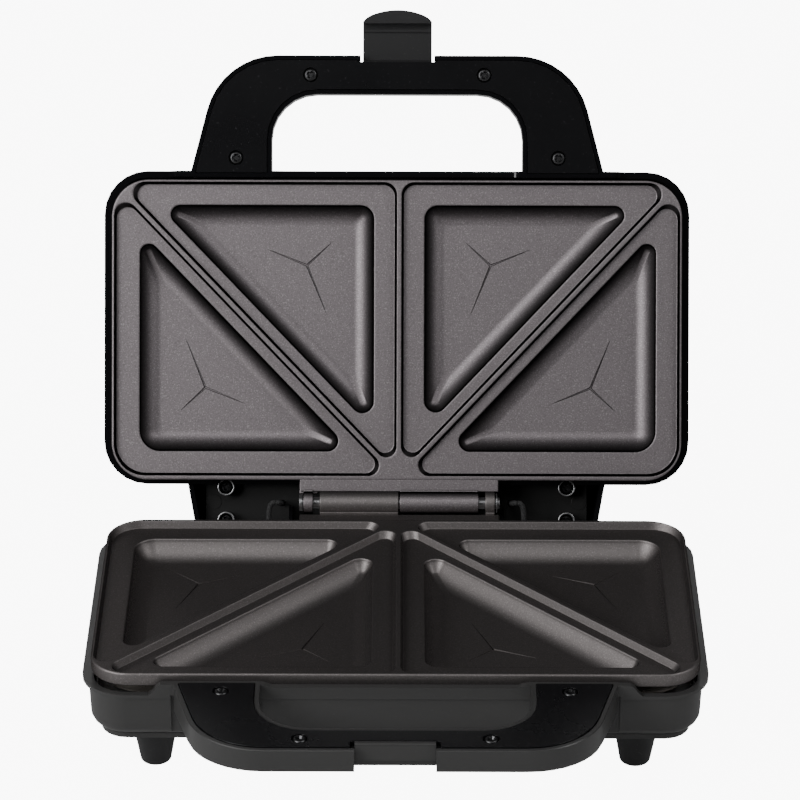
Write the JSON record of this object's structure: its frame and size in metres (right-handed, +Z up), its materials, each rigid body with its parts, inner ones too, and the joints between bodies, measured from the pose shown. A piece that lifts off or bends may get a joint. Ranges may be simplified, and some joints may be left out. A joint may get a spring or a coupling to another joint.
{
  "type": "sandwich toaster",
  "caption": "Countertop sandwich toaster with hinged cast plates, deep triangular pockets, loop handles and a flip-over front latch.",
  "frame": {"origin": "centre of the overall box of the open toaster, on the table under its feet", "axes": "+X to the user's right, -Y towards the user and the handles' front, +Z up; the hinge axis runs along X"},
  "size_m": [0.257, 0.3022, 0.2427],
  "materials": {
    "base_shell": "satin moulded phenolic, very dark grey",
    "lid_shell": "glossy black moulding",
    "inner_deck": "plain black moulding",
    "handle_trim": "semi-gloss black cover",
    "base_coating": "fine speckled non-stick coating on cast aluminium",
    "lid_coating": "fine speckled warm grey non-stick coating on cast aluminium",
    "foot": "satin black",
    "latch": "satin dark grey",
    "screw": "black zinc-plated steel",
    "pin": "plain steel",
    "element": "steel sheath",
    "reflector": "bright sheet",
    "ceramic": "ivory heat-proof moulding",
    "wire": "silicone insulation",
    "sleeve": "black braided glass-fibre sleeving",
    "bushing": "black rubber",
    "red_lens": "clear red",
    "green_lens": "clear green"
  },
  "bodies": {
    "base": {"base_housing": "base_shell", "base_bottom_cover": "base_shell", "foot_front_left": "foot", "foot_front_right": "foot", "foot_rear_left": "foot", "foot_rear_right": "foot", "base_cover_screws": "screw", "base_handle_cover": "handle_trim", "base_handle_screws": "screw", "base_plate": "base_coating", "base_plate_screws": "screw", "base_element": "element", "base_element_saddles": "reflector", "base_reflector": "reflector", "thermostat": "ceramic", "thermal_fuse": "screw", "terminal_block": "ceramic", "cord_bushing": "bushing", "base_wiring": "wire", "base_lead_sleeves": "sleeve", "hinge_pin": "pin", "hinge_clip": "pin"},
    "lid": {"lid_housing": "lid_shell", "lid_deck": "inner_deck", "lid_rear_screws": "screw", "lid_handle_cover": "handle_trim", "lid_handle_screws": "screw", "lid_plate": "lid_coating", "lid_plate_screws": "screw", "lid_element": "element", "lid_element_saddles": "reflector", "lid_reflector": "reflector", "lamp_holder": "ceramic", "power_lamp_lens": "red_lens", "ready_lamp_lens": "green_lens", "lid_wiring": "wire", "lid_lead_sleeves": "sleeve", "latch_pin": "pin"},
    "latch": {"latch": "latch"}
  },
  "joints": [
    {"name": "lid_hinge", "type": "hinge", "parent": "base", "child": "lid", "pos_m": [0, 0.04468, 0.0514], "axis": [1, 0, 0], "range_deg": [0, 117]},
    {"name": "latch_pivot", "type": "hinge", "parent": "lid", "child": "latch", "pos_m": [0, 0.13649, 0.21972], "axis": [1, 0, 0], "range_deg": [0, 90]}
  ]
}
